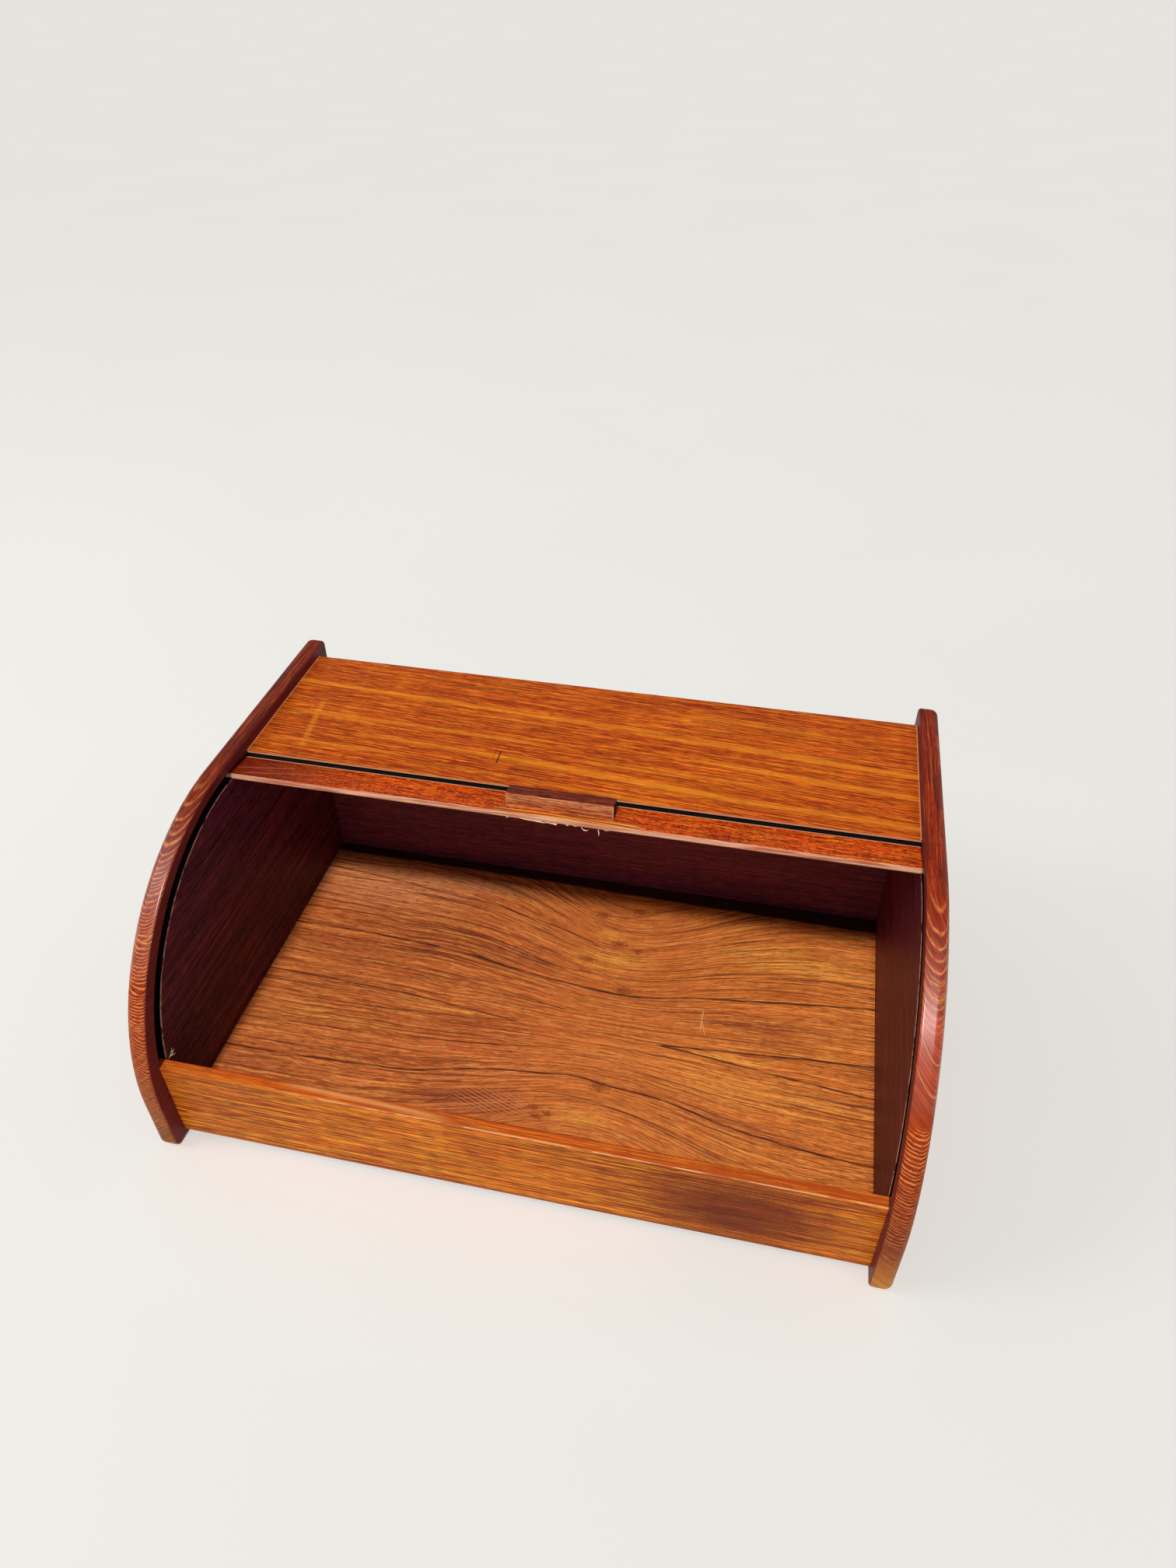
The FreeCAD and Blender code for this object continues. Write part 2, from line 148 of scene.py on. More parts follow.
class Shader:
    """One material's nodes, with a short call for each kind that the materials use."""

    def __init__(self, name):
        self.material = bpy.data.materials.new(name)
        self.material.use_nodes = True
        self.tree = self.material.node_tree
        self.tree.nodes.clear()
        place = self.add("ShaderNodeVectorMath", operation="SCALE")
        self.tree.links.new(self.add("ShaderNodeTexCoord").outputs["Object"], place.inputs[0])
        place.inputs["Scale"].default_value = 1 / MM
        parts = self.add("ShaderNodeSeparateXYZ")
        self.tree.links.new(place.outputs[0], parts.inputs[0])
        self.x, self.y, self.z = (Field(self, socket) for socket in parts.outputs)

    def add(self, kind, **settings):
        node = self.tree.nodes.new(kind)
        for name, value in settings.items():
            setattr(node, name, value)
        return node

    def put(self, socket, value):
        """Links a field to the socket, or sets a plain value on it."""
        if isinstance(value, Field):
            self.tree.links.new(value.socket, socket)
        else:
            socket.default_value = value

    def math(self, operation, *values):
        node = self.add("ShaderNodeMath", operation=operation)
        for socket, value in zip(node.inputs, values):
            self.put(socket, value)
        return Field(self, node.outputs[0])

    def size(self, value):
        return self.math("ABSOLUTE", value)

    def most(self, *values):
        """The largest of the values at each point."""
        result = values[0]
        for value in values[1:]:
            result = self.math("MAXIMUM", result, value)
        return result

    def vector(self, x, y, z=0.0):
        node = self.add("ShaderNodeCombineXYZ")
        for socket, value in zip(node.inputs, (x, y, z)):
            self.put(socket, value)
        return Field(self, node.outputs[0])

    def noise(self, vector, detail=2.0, roughness=0.5):
        node = self.add("ShaderNodeTexNoise")
        inputs = {"Vector": vector, "Scale": 1.0, "Detail": detail, "Roughness": roughness}
        for name, value in inputs.items():
            self.put(node.inputs[name], value)
        return Field(self, node.outputs[0])

    def rise(self, value, low, high):
        """0 below low, 1 above high, and smooth between. With low above high it falls."""
        node = self.add("ShaderNodeMapRange", interpolation_type="SMOOTHSTEP")
        self.put(node.inputs["Value"], value)
        node.inputs["From Min"].default_value = min(low, high)
        node.inputs["From Max"].default_value = max(low, high)
        node.inputs["To Min"].default_value = float(low > high)
        node.inputs["To Max"].default_value = float(low < high)
        return Field(self, node.outputs["Result"])

    def band(self, value, low, high, soft):
        """1 from low to high, and 0 beyond the soft edges."""
        return self.rise(value, low - soft, low) * self.rise(value, high + soft, high)

    def bell(self, value, middle, width):
        """1 at the middle, falling away on both sides."""
        return self.rise(self.size(value - middle), width, 0.0)

    def spot(self, a, b, middle, width_a, width_b, ragged=0.0):
        """An oval mark round a point of two coordinates, with a ragged outline."""
        across_a, across_b = (a - middle[0]) / width_a, (b - middle[1]) / width_b
        reach = self.math("SQRT", across_a * across_a + across_b * across_b)
        if ragged:
            reach = reach + (self.noise(self.vector(a / 1.6, b / 1.1), 3) - 0.5) * ragged
        return self.rise(reach, 1.0, 0.2)

    def stroke(self, a, b, start, end, width, ends=8.0):
        """A straight mark from start to end, which are points of the two coordinates."""
        slope = (end[1] - start[1]) / (end[0] - start[0])
        line = self.bell(b - a * slope, start[1] - start[0] * slope, width)
        return line * self.band(a, start[0], end[0], ends)

    def trace(self, value, points, low, high):
        """A smooth curve through the points, which are (value, result), all from low to high."""
        node = self.add("ShaderNodeFloatCurve")
        curve = node.mapping.curves[0]
        while len(curve.points) < len(points):
            curve.points.new(0.5, 0.5)
        for place, point in zip(sorted(points), curve.points):
            point.location = [(number - low) / (high - low) for number in place]
        node.mapping.update()
        self.put(node.inputs["Value"], (value - low) / (high - low))
        return Field(self, node.outputs[0]) * (high - low) + low

    def ramp(self, value, *stops):
        """A colour that runs through the stops, which are (position, colour)."""
        node = self.add("ShaderNodeValToRGB")
        elements = node.color_ramp.elements
        while len(elements) < len(stops):
            elements.new(0.5)
        for element, (position, colour) in zip(elements, stops):
            element.position = position
            element.color = colour
        self.put(node.inputs[0], value)
        return Field(self, node.outputs["Color"])

    def mix(self, share, below, above):
        """The colour below, covered by that share of the colour above."""
        node = self.add("ShaderNodeMix", data_type="RGBA", blend_type="MIX")
        self.put(node.inputs["Factor"], share)
        self.put(node.inputs[MIX_BELOW], below)
        self.put(node.inputs[MIX_ABOVE], above)
        return Field(self, node.outputs[MIX_RESULT])

    def finish(self, colour, roughness, height=None, relief=0.02, **shader_values):
        """Joins everything to the surface. The relief is in millimetres."""
        surface = self.add("ShaderNodeBsdfPrincipled")
        self.put(surface.inputs["Base Color"], colour)
        self.put(surface.inputs["Roughness"], roughness)
        for name, value in shader_values.items():
            self.put(surface.inputs[name.replace("_", " ")], value)
        if height is not None:
            bump = self.add("ShaderNodeBump")
            bump.inputs["Strength"].default_value = BUMP_STRENGTH
            bump.inputs["Distance"].default_value = relief * MM
            self.put(bump.inputs["Height"], height)
            self.tree.links.new(bump.outputs[0], surface.inputs["Normal"])
        output = self.add("ShaderNodeOutputMaterial")
        self.tree.links.new(surface.outputs[0], output.inputs["Surface"])
        return self.material


# Fine marks of the grain: (length, width, lowest and highest noise, layer, strength, is dark)
COARSE_STREAKS = [(130, 2.4, 0.46, 0.62, 11, 0.40, True), (110, 1.7, 0.50, 0.64, 13, 0.44, False)]
FINE_STREAKS = [(90, 1.15, 0.50, 0.58, 17, 0.42, True), (70, 0.9, 0.54, 0.62, 23, 0.36, False),
                (42, 0.75, 0.51, 0.58, 31, 0.48, True), (15, 0.6, 0.53, 0.59, 37, 0.55, True),
                (12, 0.55, 0.56, 0.62, 43, 0.40, False), (5, 0.5, 0.57, 0.62, 47, 0.55, True)]


class Grain:
    """The marks of one cut of teak, in the directions along and across its grain."""

    def __init__(self, shader, along, across, seed, sway=2.0, stretch=1.0):
        self.shader = shader
        self.seed = seed
        self.stretch = stretch
        bend = shader.noise(shader.vector(along / 60, across / 30, seed + 3.1), 1) - 0.5
        self.along = along
        self.across = across + sway * bend

    def marks(self, length, width, low, high, layer):
        """Marks of about that length and width: 0 between them and 1 on them."""
        shader = self.shader
        along = self.along / (length * self.stretch)
        vector = shader.vector(along, self.across / width, self.seed + layer)
        return shader.rise(shader.noise(vector, 1.0), low, high)

    def figure(self, tones, length=130, width=8):
        """Broad bands of colour, from the darkest tone to the lightest."""
        shader = self.shader
        vector = shader.vector(self.along / length, self.across / width, self.seed)
        last = len(tones) - 1
        stops = [(0.30 + 0.40 * number / last, tone) for number, tone in enumerate(tones)]
        return shader.ramp(shader.noise(vector, 3, 0.6), *stops)

    def dress(self, colour, dark, light, depth=1.0, coarse=0.5):
        """Adds streaks, pores and flecks of the dark and the light tone to a colour."""
        for streaks, strong in ((COARSE_STREAKS, coarse), (FINE_STREAKS, 1.0)):
            for length, width, low, high, layer, strength, is_dark in streaks:
                share = self.marks(length, width, low, high, layer) * (strength * strong * depth)
                colour = self.shader.mix(share, colour, dark if is_dark else light)
        return colour

    def pores(self):
        """Height of the surface: 1 on the wood and lower in the open pores."""
        return 1.0 - self.marks(6, 0.5, 0.54, 0.66, 29)


# The floor's dark lines run from left to right: (half width, strength, points)
FLOOR_REACH = 200
FLOOR_LINES = [
    (0.7, 0.60, [(-150, 105), (-95, 100), (-60, 98), (-25, 92), (-5, 85), (12, 80), (35, 82),
                 (50, 90), (72, 99)]),
    (0.9, 0.75, [(-200, 88), (-150, 84), (-100, 77), (-70, 74), (-40, 67), (-15, 61), (12, 51)]),
    (0.7, 0.60, [(-200, 55), (-162, 54), (-100, 54), (-70, 51), (-40, 46), (-12, 37)]),
    (0.6, 0.70, [(-200, 46), (-150, 47), (-100, 45), (-60, 41), (-37, 36), (-15, 28), (12, 26),
                 (50, 26), (75, 32), (100, 39), (150, 48), (200, 54)]),
    (1.1, 1.00, [(-200, 30), (-162, 30), (-112, 28), (-75, 26), (-50, 21), (-25, 17), (0, 14),
                 (25, 12), (50, 12), (87, 19), (125, 24), (162, 29), (200, 33)]),
    (0.5, 0.45, [(-200, 21), (-150, 21), (-100, 17), (-60, 14), (-25, 9), (12, 6)]),
    (0.6, 0.70, [(-200, 7.5), (-150, 7), (-100, 6), (-70, 2.5), (-40, -1), (0, -7.5)]),
    (0.8, 0.80, [(-200, -14), (-150, -15), (-100, -16.5), (-60, -20), (-27, -23)]),
    (0.6, 0.75, [(-200, -33), (-150, -32), (-100, -30), (-60, -27), (-27, -23.5)]),
    (0.6, 0.60, [(-200, -55), (-150, -53), (-100, -51), (-50, -46), (0, -39), (40, -36)]),
    (0.5, 0.40, [(-200, -70), (-150, -69), (-100, -66), (-60, -60), (-20, -52)]),
    (1.0, 0.95, [(-200, -78), (-162, -77.5), (-112, -75), (-75, -72), (-50, -66), (-25, -61),
                 (0, -58.5), (20, -56), (42, -59), (75, -62), (112, -71), (150, -77), (200, -81)]),
    (0.6, 0.60, [(-60, -92), (-30, -80), (0, -72), (30, -71), (55, -75), (87, -82), (105, -89),
                 (125, -94)]),
    (0.9, 0.95, [(71, -23), (100, -20), (137, -17), (170, -14), (200, -12.5)]),
    (0.9, 0.95, [(71, -23.5), (100, -26), (137, -30), (170, -33), (200, -35.5)]),
    (0.6, 0.50, [(37, 49), (62, 60), (100, 71), (150, 86), (200, 96)]),
    (0.5, 0.45, [(80, -50), (120, -55), (160, -58), (200, -60)]),
]
# The floor's patches: (x, y, reach along x, reach along y, strength)
FLOOR_GOLD = [(27, 40, 42, 13, 0.75), (145, 62, 80, 18, 0.70), (112, -24, 36, 4.5, 0.9),
              (-72, -23.4, 42, 3.2, 0.6), (30, -83, 26, 9, 0.75), (140, -48, 90, 14, 0.45),
              (20, 62, 18, 10, 0.5), (-150, -45, 70, 8, 0.3)]
FLOOR_DUSK = [(-32, 30, 40, 11, 0.55), (-35, -86, 48, 13, 0.55), (125, 6, 90, 11, 0.40),
              (-165, 15, 60, 9, 0.35), (-170, -86, 60, 9, 0.45), (110, -70, 80, 9, 0.35)]
# Its pin knots: (x, y, reach along x, reach along y)
FLOOR_KNOTS = [(11, 80, 7, 3.5), (36, 87.5, 8, 3), (28, 55, 6, 3), (41, 50, 4, 2),
               (9, 37.5, 7, 2.5), (38, 15, 7, 3), (38, -61, 7, 3), (2, -82.5, 5, 1.7),
               (11, -85, 4, 1.6), (5, -88.5, 4, 1.5)]
PINCH_X, PINCH_Y, PINCH_REACH = 32.5, -23.2, 80


def floor_lines(shader):
    """The floor's dark lines, which waver a little and are broken in places."""
    x, y = shader.x, shader.y
    waver = shader.noise(shader.vector(x / 14, y / 9, 6.3), 2) - 0.5
    broken = shader.rise(shader.noise(shader.vector(x / 22, y / 4, 7.7), 2), 0.28, 0.56)
    total = 0.0
    for width, strength, points in FLOOR_LINES:
        line = shader.trace(x, points, -FLOOR_REACH, FLOOR_REACH)
        near = shader.bell(y + waver * 1.1, line, width * 1.25)
        along = shader.band(x, points[0][0], points[-1][0], 7)
        total = shader.most(near * along * strength, total)
    return total * (0.35 + 0.65 * broken)


def floor_patches(shader, grain, colour):
    """Adds the golden and dusky patches and a painted sheen to the floor's colour."""
    x, y = shader.x, shader.y
    streaky = 0.25 + 0.75 * grain.marks(70, 2.6, 0.40, 0.58, 53)
    for tone, patches in ((srgb(246, 164, 66), FLOOR_GOLD), (srgb(132, 62, 42), FLOOR_DUSK)):
        for patch_x, patch_y, width, depth, strength in patches:
            patch = shader.spot(x, y, (patch_x, patch_y), width, depth)
            colour = shader.mix(patch * streaky * min(strength * 1.25, 0.95), colour, tone)
    # Painted sheen: a pale patch towards the back left, where a highlight lies.
    wear_and_sheen = shader.spot(x, y, (-80, 91), 62, 12)
    colour = shader.mix(wear_and_sheen * 0.45, colour, srgb(238, 170, 112))
    back_left = shader.spot(x, y, (-150, 80), 90, 40)
    return shader.mix(back_left * 0.5, colour, srgb(244, 160, 110))


def floor_marks(shader, waver, colour):
    """Adds the dark lines, ripples, knots, scratches and a painted shadow along the back."""
    x, y = shader.x, shader.y
    lines = shader.math("MINIMUM", floor_lines(shader) * 1.1, 1.0)
    colour = shader.mix(lines, colour, srgb(66, 28, 22))
    ripple_row = shader.math("FRACT", (y + 0.35 * x + 3.0 * waver) / 2.3)
    feathered = shader.spot(x, y, (-24, -84), 36, 12, 0.5)
    colour = shader.mix(feathered * 0.4, colour, srgb(124, 50, 34))
    ripples = shader.bell(ripple_row, 0.5, 0.24) * feathered
    colour = shader.mix(ripples * 0.7, colour, srgb(226, 138, 80))
    for knot_x, knot_y, width, depth in FLOOR_KNOTS:
        knot = shader.spot(x, y, (knot_x, knot_y), width * 1.3, depth * 1.5, 2.4)
        colour = shader.mix(knot * 0.6, colour, srgb(96, 40, 18))
    scratch = shader.band(x, 91.4, 91.8, 0.25) * shader.band(y, -4, 8, 3)
    nick = shader.band(x + 0.3 * y, 92.0, 92.3, 0.2) * shader.band(y, -8, 0, 2)
    colour = shader.mix((scratch + nick) * 0.55, colour, srgb(232, 186, 140))
    # Painted shadow: a near-black strip along the back of the floor, where the curtain's shadow
    # falls.
    painted_shadow_at_back = shader.rise(y + waver * 5.0 + 0.014 * x, 102, 105) * 0.95
    return shader.mix(painted_shadow_at_back, colour, srgb(16, 8, 10))


def floor_veneer():
    """Flat-cut teak whose lines pinch together round a row of pin knots."""
    shader = Shader("floor_teak")
    x, y = shader.x, shader.y
    waver = shader.noise(shader.vector(x / 55, y / 30, 4.2), 2) - 0.5
    lean = (x - PINCH_X) / PINCH_REACH
    pinch = shader.math("EXPONENT", -1.0 * (lean * lean))
    level = (y - PINCH_Y) / (1.57 - 0.57 * pinch) + 3.0 * waver

    grain = Grain(shader, x, level, 1.0, 1.0)
    to_the_right = shader.rise(x, -60, 130)
    warm = grain.figure([srgb(180, 86, 40), srgb(208, 106, 50), srgb(228, 126, 62)], 170, 5)
    gold = grain.figure([srgb(200, 100, 38), srgb(230, 126, 50), srgb(250, 152, 64)], 170, 4)
    colour = shader.mix(to_the_right * 0.7, warm, gold)
    colour = floor_patches(shader, grain, colour)
    colour = grain.dress(colour, srgb(116, 50, 24), srgb(252, 172, 86), 0.8, 0.3)
    hair_lines = grain.marks(150, 1.3, 0.60, 0.66, 59)
    colour = shader.mix(hair_lines * 0.65, colour, srgb(92, 40, 26))
    colour = floor_marks(shader, waver, colour)
    return shader.finish(colour, 0.52, grain.pores(), 0.05, Specular_IOR_Level=0.14)


# Golden bands of the top: (start, end, half width, strength)
TOP_GOLD = [((-200, 103), (-92, 98), 2.6, 0.75), ((-92, 98), (25, 91.5), 2.4, 0.7),
            ((-30, 94), (25, 92), 2.4, 0.7), ((45, 88), (135, 84.5), 2.4, 0.8),
            ((135, 83), (200, 79), 2.2, 0.8), ((-170, 69.5), (-45, 66), 2.2, 0.6),
            ((95, 67), (190, 59.5), 2.8, 0.7), ((-117, 52.5), (-15, 46), 2.6, 0.6),
            ((-25, 46.5), (75, 39), 3.2, 0.85), ((50, 39.5), (200, 32), 2.6, 0.75),
            ((65, 112.5), (132, 110), 2.0, 0.6), ((10, 54), (105, 52), 1.8, 0.55),
            ((-2, 28), (50, 25), 1.8, 0.6), ((-168, 40.5), (-120, 39), 1.8, 0.6)]
TOP_SLOPE = 0.055


def top_veneer():
    """Quarter-cut teak: golden bands that fall a little towards the right."""
    shader = Shader("top_teak")
    x, y, z = shader.x, shader.y, shader.z
    grain = Grain(shader, x, y + z + TOP_SLOPE * x, 5.0, 1.0, 1.5)
    colour = grain.figure([srgb(172, 54, 8), srgb(202, 74, 14), srgb(224, 94, 22)], 200, 6)
    golden = 0.0
    for start, end, width, strength in TOP_GOLD:
        band = shader.stroke(x, y, start, end, width * 1.6, 32)
        golden = shader.most(band * strength, golden)
    upright = shader.stroke(y, x, (42, -170), (74, -174), 3.2, 14) * 0.6
    patchy = grain.marks(90, 1.6, 0.36, 0.56, 53)
    golden = shader.most(golden, upright) * (0.55 + 0.45 * patchy)
    redder = shader.most(shader.rise(x, -120, -200), shader.rise(y, 112, 132) * 0.8)
    colour = shader.mix(redder * 0.4, colour, srgb(150, 50, 18))
    colour = grain.dress(colour, srgb(108, 28, 2), srgb(255, 146, 34), 1.25, 0.7)
    colour = shader.mix(golden * 0.5, colour, srgb(252, 160, 40))

    dent = shader.stroke(y, x, (43, -47), (53, -47.4), 1.0, 2)
    faint_dent = shader.stroke(y, x, (46, -50), (54, -50.4), 0.6, 2)
    colour = shader.mix((dent + faint_dent * 0.5) * 0.9, colour, srgb(50, 18, 12))
    ends = shader.rise(shader.size(x), INNER_X - 0.9, INNER_X - 0.4)
    worn = shader.rise(y, TOP_LOW.y + 0.3, TOP_LOW.y + 0.1)
    worn = worn * shader.rise(z, TOP_HIGH.z - 0.4, TOP_HIGH.z - 0.9)
    uneven = shader.noise(shader.vector(x / 9, y / 2, z / 2))
    pale = shader.mix(uneven, srgb(190, 128, 92), srgb(222, 172, 130))
    colour = shader.mix(shader.most(worn, ends * 0.6), colour, pale)
    return shader.finish(colour, 0.50, grain.pores(), 0.04, Specular_IOR_Level=0.08)


# Dark streaks of the front board in x and z: (start, end, half width, strength)
BOARD_STREAKS = [((5, 54.3), (200, 55.0), 0.45, 0.8), ((15, 49.6), (92, 49.2), 0.4, 0.7),
                 ((-30, 44.5), (45, 45.5), 0.4, 0.5), ((-190, 42), (-80, 43), 0.5, 0.35),
                 ((60, 24), (150, 23.5), 0.5, 0.45), ((-100, 12), (80, 11), 0.6, 0.3),
                 ((-28, 24.5), (-14, 24.2), 0.6, 0.8), ((90, 58.5), (200, 58.8), 0.4, 0.5)]


def board_edge(shader, colour):
    """Adds the board's upper edge: redder, with a tan patch and a worn pale front arris."""
    x, y, z = shader.x, shader.y, shader.z
    on_top = shader.rise(z, BOARD_HIGH.z - 0.9, BOARD_HIGH.z - 0.2)
    colour = shader.mix(on_top * 0.60, colour, srgb(186, 78, 28))
    back_share = (y - BOARD_LOW.y) / (BOARD_HIGH.y - BOARD_LOW.y)
    slanting = shader.bell(back_share + (x + 80) / 220, 0.62, 0.36)
    tan = on_top * shader.band(x, -112, -46, 22) * slanting
    colour = shader.mix(tan * 0.62, colour, srgb(222, 158, 92))
    near_top = shader.rise(z, BOARD_HIGH.z - 1.2, BOARD_HIGH.z - 0.5)
    arris = shader.bell(y, BOARD_LOW.y + 0.3, 0.35) * near_top
    wear_and_sheen = shader.rise(shader.noise(shader.vector(x / 14, y, z / 4), 3), 0.42, 0.56)
    to_the_right = shader.rise(x, -170, -80)
    worn = arris * (0.12 + 0.88 * wear_and_sheen) * to_the_right * 0.6
    return shader.mix(worn, colour, srgb(250, 200, 152))


def board_wood():
    """Straight-grained teak with a dark patch near the right end."""
    shader = Shader("board_teak")
    x, y, z = shader.x, shader.y, shader.z
    grain = Grain(shader, x, z + 0.6 * y, 9.0, 0.6, 2.4)
    colour = grain.figure([srgb(206, 84, 8), srgb(240, 110, 14), srgb(255, 138, 24)], 200, 6)
    to_the_left = shader.rise(x, -60, -170)
    colour = shader.mix(to_the_left * 0.35, colour, srgb(176, 70, 26))
    colour = grain.dress(colour, srgb(108, 34, 4), srgb(255, 172, 42), 1.4, 0.8)
    streaks = 0.0
    for start, end, width, strength in BOARD_STREAKS:
        streak = shader.stroke(x, z, start, end, width * 1.7, 16)
        streaks = shader.most(streak * strength, streaks)
    colour = shader.mix(streaks, colour, srgb(84, 32, 14))
    patch = shader.spot(x, z, (126, 33), 78, 46, 0.45)
    smoky = 0.78 + 0.22 * grain.marks(60, 1.4, 0.40, 0.60, 53)
    colour = shader.mix(patch * smoky * 0.95, colour, srgb(98, 26, 2))
    core = shader.spot(x, z, (124, 27), 26, 12, 0.7)
    colour = shader.mix(core * 0.2, colour, srgb(52, 18, 12))
    low_edge = shader.rise(z, BOARD_LOW.z + 4, BOARD_LOW.z)
    colour = shader.mix(low_edge * 0.55, colour, srgb(120, 46, 18))
    colour = board_edge(shader, colour)
    return shader.finish(colour, 0.50, grain.pores(), 0.05, Specular_IOR_Level=0.10)


def rail_coordinates(shader):
    """(backwards along the rail, outwards from the joint's axis) at each point."""
    over_y, over_z = shader.y - TRACK.y, shader.z - TRACK.z
    cosine, sine = math.cos(RAIL_TURN), math.sin(RAIL_TURN)
    return over_y * cosine - over_z * sine, over_y * sine + over_z * cosine


def rail_wood():
    """Red teak, dark at its left end, with a pale front edge and a worn strip by the handle."""
    shader = Shader("rail_teak")
    x = shader.x
    back, out = rail_coordinates(shader)
    grain = Grain(shader, x, back + 0.05 * x + 0.4 * out, 13.0, 6.0, 0.3)
    colour = grain.figure([srgb(176, 36, 4), srgb(220, 62, 8), srgb(250, 90, 14)], 60, 4)
    colour = grain.dress(colour, srgb(104, 18, 4), srgb(255, 132, 30), 1.3, 1.1)
    left_end = shader.rise(x, -110, -190)
    colour = shader.mix(left_end * 0.8, colour, srgb(92, 14, 6))
    slant = shader.stroke(x, back, (-196, -2), (-168, 3), 0.7, 6)
    slant = slant + shader.stroke(x, back, (-190, -7), (-150, 0), 0.6, 8)
    colour = shader.mix(slant * 0.45, colour, srgb(226, 120, 84))
    worn = shader.band(x, -34, 42, 7) * shader.rise(back, HANDLE_FRONT - 1.0, HANDLE_FRONT - 2.5)
    threads = grain.marks(200, 1.0, 0.46, 0.58, 41)
    gilded = shader.mix(threads, srgb(232, 158, 66), srgb(140, 62, 28))
    colour = shader.mix(worn * 0.9, colour, gilded)

    # The back step, painted near black as shade in the gap under the top, the worn arris above it,
    # the front edge and the underside
    painted_gap_shade = shader.rise(back, RAIL_HALF - 0.9, RAIL_HALF - 0.5)
    painted_gap_shade = painted_gap_shade * shader.rise(out, RAIL_TOP - 0.2, RAIL_TOP - 0.8)
    colour = shader.mix(painted_gap_shade, colour, srgb(24, 10, 10))
    arris = shader.bell(back, RAIL_HALF - 0.6, 0.7)
    arris = arris * shader.rise(out, RAIL_TOP - 0.8, RAIL_TOP - 0.3)
    colour = shader.mix(arris * 0.75, colour, srgb(232, 172, 136))
    front = shader.rise(back, RAIL_EDGE + 0.2, RAIL_EDGE)
    layers = shader.rise(shader.noise(shader.vector(x / 24, back, out / 0.9), 3), 0.35, 0.65)
    peach = shader.mix(layers, srgb(184, 106, 76), srgb(232, 178, 144))
    colour = shader.mix(front * 0.92, colour, peach)
    under = shader.rise(out, RAIL_UNDER + 0.5, RAIL_UNDER + 0.2)
    colour = shader.mix(under * 0.5, colour, srgb(88, 32, 20))
    return shader.finish(colour, 0.48, grain.pores(), 0.05, Specular_IOR_Level=0.08)


def handle_wood():
    """Dark red wood. The front face has painted light, paler than the top, and the right end has
    painted shade, near black.
    """
    shader = Shader("handle_teak")
    x = shader.x
    back, out = rail_coordinates(shader)
    grain = Grain(shader, x, back + out, 17.0)
    colour = grain.figure([srgb(78, 14, 4), srgb(104, 22, 6), srgb(126, 34, 10)], 50, 3)
    colour = grain.dress(colour, srgb(46, 10, 8), srgb(170, 76, 40), 1.2)
    front = shader.rise(back, HANDLE_FRONT + 0.5, HANDLE_FRONT + 0.2)
    height = out - RAIL_TOP
    streak = shader.bell(height + 0.02 * x, 4.2, 1.8)
    # Painted light: the front face is coloured paler than the top, and paler again towards its
    # upper edge.
    face = shader.mix(shader.rise(height, 0.5, 8.0), srgb(190, 84, 28), srgb(214, 124, 76))
    face = shader.mix(streak * 0.5, face, srgb(150, 60, 26))
    face = grain.dress(face, srgb(112, 38, 14), srgb(244, 166, 108), 1.1, 1.2)
    colour = shader.mix(front * 0.94, colour, face)
    # Painted shade: the right end face is coloured near black.
    painted_shade_right_end = shader.rise(x, HANDLE_HIGH.x - 0.35, HANDLE_HIGH.x - 0.1)
    colour = shader.mix(painted_shade_right_end * 0.97, colour, srgb(24, 10, 10))
    left_arris = shader.bell(x, HANDLE_LOW.x + 0.4, 0.6)
    right_arris = shader.bell(x, HANDLE_HIGH.x - 0.35, 0.5)
    arrises = shader.most(left_arris * 0.3, right_arris) * front
    colour = shader.mix(arrises * 0.7, colour, srgb(232, 180, 146))
    return shader.finish(colour, 0.5, grain.pores(), 0.04, Specular_IOR_Level=0.08)


# Pale rings that cross the rims, by height: single ones (height, lean, strength) and
# close rows of them (lowest, highest, pitch, lean, strength)
LEFT_RINGS = [(177.4, 0.0, 0.55), (175.2, 0.0, 0.6), (172.6, 0.0, 0.65), (170.0, 0.0, 0.5),
              (133.5, 0.0, 0.5)]
LEFT_ROWS = [(138, 169, 1.7, 0.0, 0.50), (96, 138, 1.7, -0.25, 0.68), (24, 98, 1.9, -0.6, 0.46)]
RIGHT_RINGS = [(175.6, 0.0, 0.6), (172.4, 0.0, 0.7), (169.6, 0.0, 0.6), (167.2, 0.0, 0.45),
               (164.8, 0.0, 0.6), (162.0, 0.0, 0.5), (158.8, 0.1, 0.55), (156.2, 0.1, 0.45),
               (142.5, 0.8, 0.5), (131.5, 0.8, 0.6)]
RIGHT_ROWS = [(151, 163, 2.0, 0.1, 0.30), (91, 114, 2.0, 0.0, 0.70), (48, 92, 2.0, 0.0, 0.42),
              (22, 48, 2.4, 0.2, 0.24)]
# Colours of the rims by height in millimetres
RIM_HEIGHT = 180
LEFT_RIM = [(0, srgb(146, 98, 48)), (34, srgb(138, 74, 32)), (70, srgb(156, 64, 26)),
            (112, srgb(158, 50, 22)), (150, srgb(136, 32, 8)), (180, srgb(112, 22, 4))]
RIGHT_RIM = [(0, srgb(224, 160, 62)), (20, srgb(188, 112, 36)), (44, srgb(120, 42, 6)),
             (100, srgb(162, 56, 8)), (150, srgb(184, 56, 4)), (180, srgb(142, 32, 4))]
# Inner faces: the wood's dark maroon, made darker and bluer by painted shade
LEFT_FACE = [srgb(48, 20, 54), srgb(80, 32, 66), srgb(120, 50, 76)]
RIGHT_FACE = [srgb(84, 24, 46), srgb(106, 34, 54), srgb(128, 48, 62)]
OUTER_FACE = [srgb(112, 36, 16), srgb(142, 54, 24), srgb(170, 78, 38)]
RING_SHADOW = srgb(80, 20, 10)


